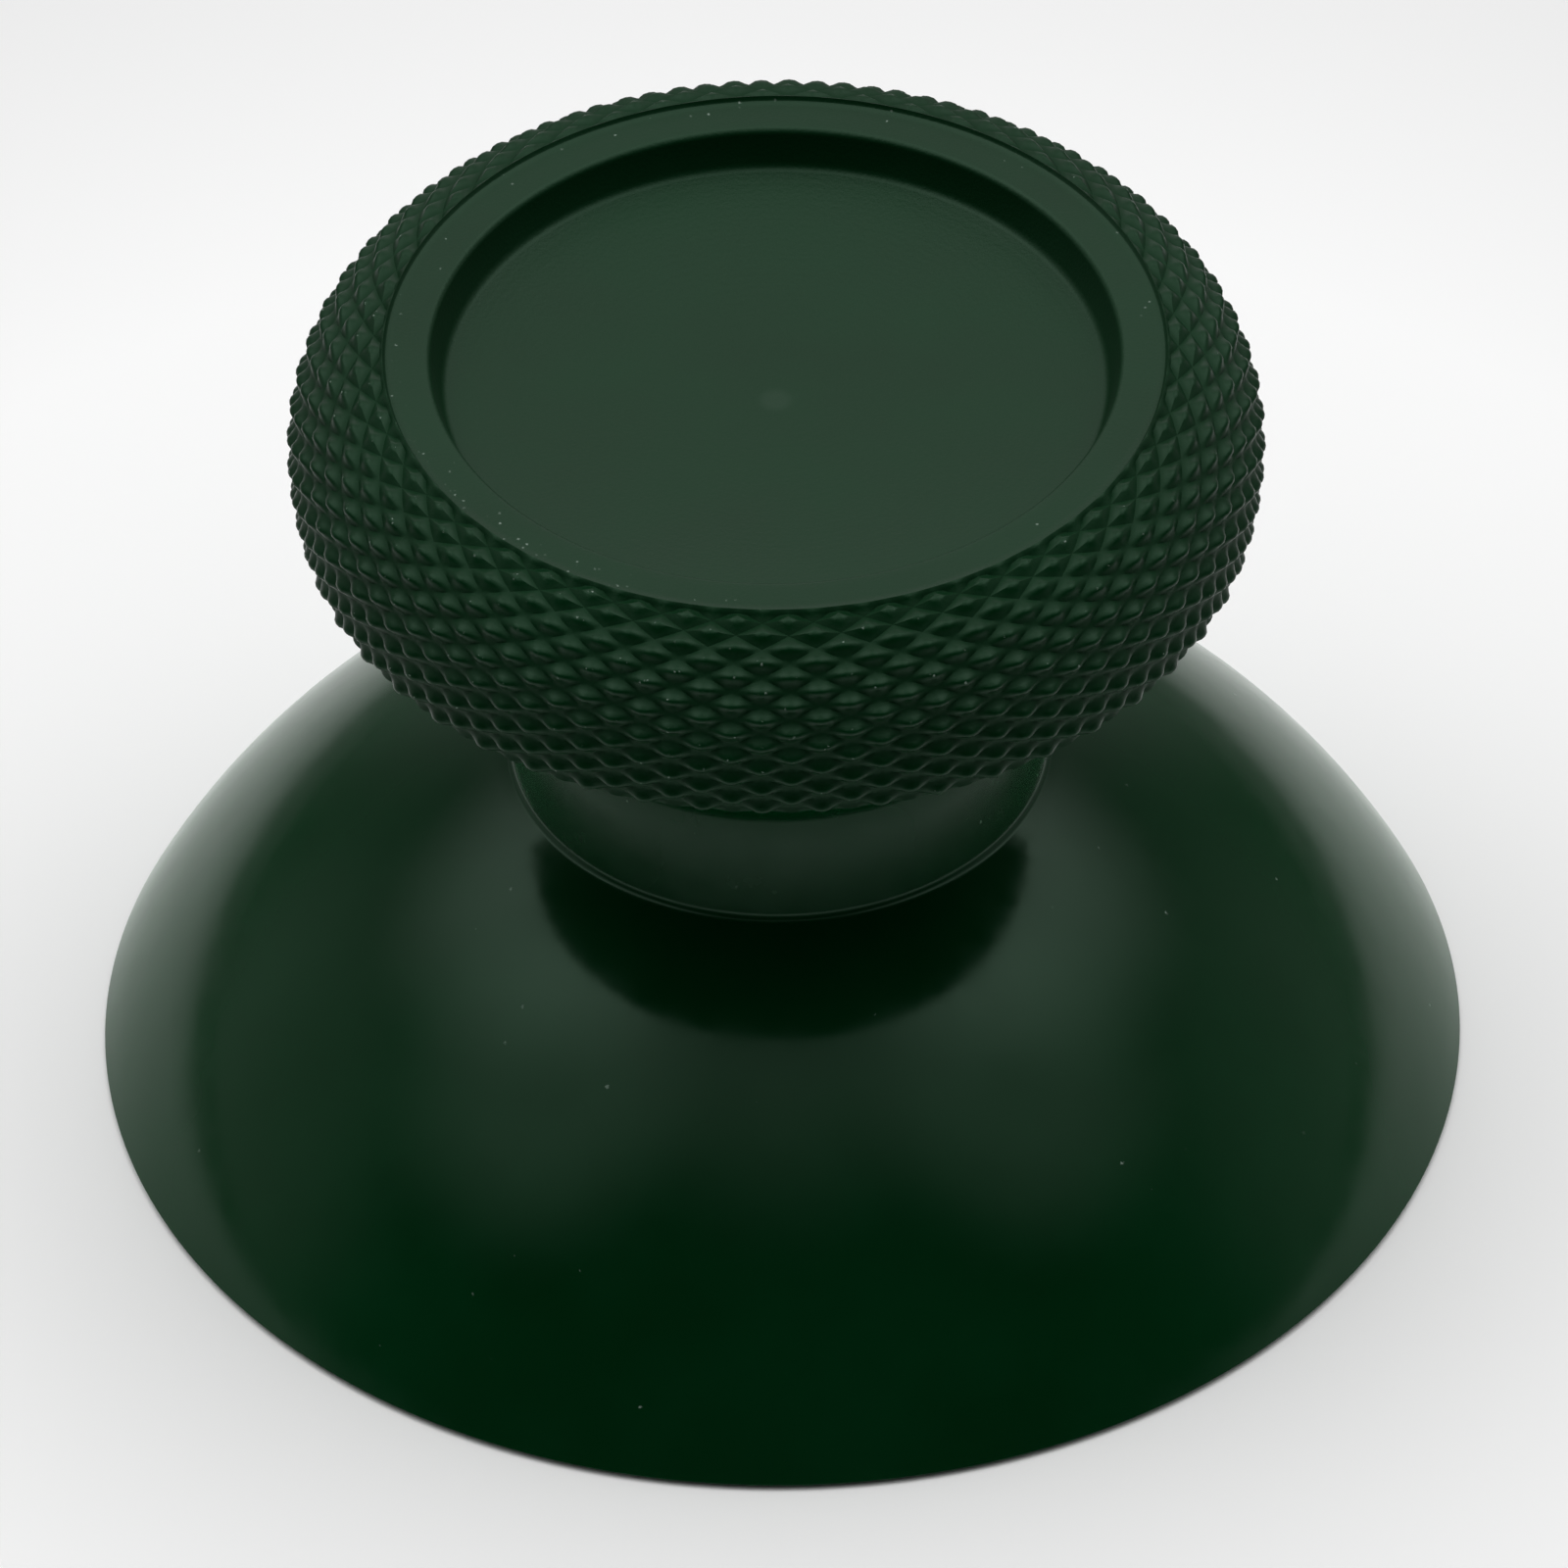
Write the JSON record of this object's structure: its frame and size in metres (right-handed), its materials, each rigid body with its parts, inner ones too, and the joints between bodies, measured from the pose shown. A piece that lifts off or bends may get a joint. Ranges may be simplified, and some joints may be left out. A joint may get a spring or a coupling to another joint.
{
  "type": "thumbstick cap",
  "caption": "Round thumbstick cap with a recessed thumb dish, a diamond-knurled rim, a short neck and a flared dome skirt with a double-D socket underneath.",
  "frame": {"origin": "centre of the dome's rim, on the plane the cap rests on", "axes": "+Z along the stick's axis, from the dome's rim to the thumb dish; +Y across the socket's two flats"},
  "size_m": [0.023, 0.023, 0.0152],
  "materials": {
    "dark_green_plastic": "glossy dome, satin knob and neck"
  },
  "bodies": {
    "root": {"thumbstick_cap": "dark_green_plastic"}
  },
  "joints": []
}
